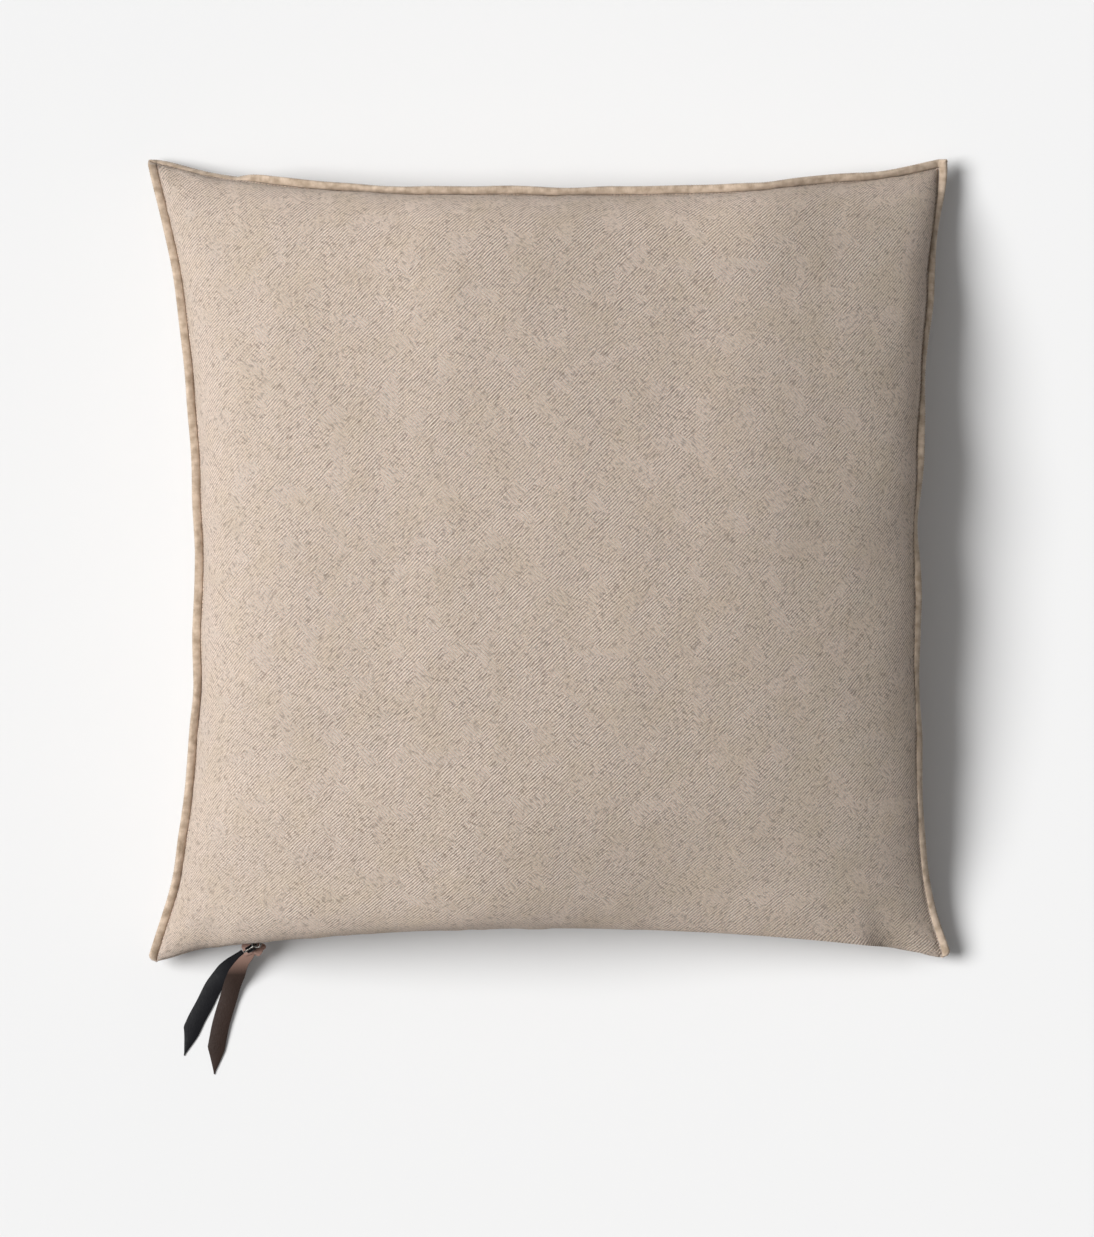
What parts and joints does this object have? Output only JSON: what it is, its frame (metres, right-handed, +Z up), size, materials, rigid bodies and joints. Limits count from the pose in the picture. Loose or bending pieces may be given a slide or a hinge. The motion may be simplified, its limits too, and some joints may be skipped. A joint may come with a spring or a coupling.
{
  "type": "floor cushion",
  "caption": "Square linen floor cushion: a zipped cover with an overlocked flange edge, a feather insert, and a knotted leather tie on the zip.",
  "frame": {"origin": "on the floor under the middle of the square cover", "axes": "+Z up, the zip edge faces -Y, the closed end of the zip with its leather tie is at -X"},
  "size_m": [0.637, 0.7324, 0.1912],
  "materials": {
    "linen": "washed plain-weave linen in mixed beige and greige yarns, slubby, matt",
    "overlock_thread": "close khaki-beige overlock stitches over the raw seam allowance",
    "insert_cloth": "down-proof white cotton",
    "filling": "feather and down, loose",
    "zip_tape": "woven polyester tape, taupe",
    "zip_metal": "dark gunmetal, softly polished, bright on worn edges",
    "black_leather": "smooth black leather, slight blue sheen",
    "brown_leather": "dark brown leather, paler and pinkish where it is folded"
  },
  "bodies": {
    "cover": {"cover_top_panel": "linen", "cover_bottom_panel": "linen", "edging_left": "overlock_thread", "edging_right": "overlock_thread", "edging_rear": "overlock_thread", "insert_case_top": "insert_cloth", "insert_case_bottom": "insert_cloth", "insert_filling": "filling", "zip_tape_upper": "zip_tape", "zip_tape_lower": "zip_tape", "zip_chain_upper": "zip_metal", "zip_chain_lower": "zip_metal", "zip_top_stop_upper": "zip_metal", "zip_top_stop_lower": "zip_metal", "zip_bottom_stop": "zip_metal"},
    "slider": {"zip_slider": "zip_metal"},
    "ring": {"pull_ring": "zip_metal"},
    "tie": {"tie_loop": "black_leather", "tie_knot": "brown_leather", "tie_tail_black": "black_leather", "tie_tail_brown": "brown_leather"}
  },
  "joints": [
    {"name": "zip_run", "type": "hinge", "parent": "cover", "child": "slider", "pos_m": [0, -0.62023, -0.72555], "axis": [0, 0.9261, -0.3773], "range_deg": [0, 31.6]},
    {"name": "ring_swing", "type": "hinge", "parent": "slider", "child": "ring", "pos_m": [-0.23424, -0.31046, 0.04164], "axis": [-0.2427, -0.097, 0.9652], "range_deg": [0, 70]},
    {"name": "tie_lift", "type": "hinge", "parent": "ring", "child": "tie", "pos_m": [-0.24001, -0.31407, 0.03651], "axis": [-0.8287, -0.4965, -0.2583], "range_deg": [0, 60]}
  ]
}
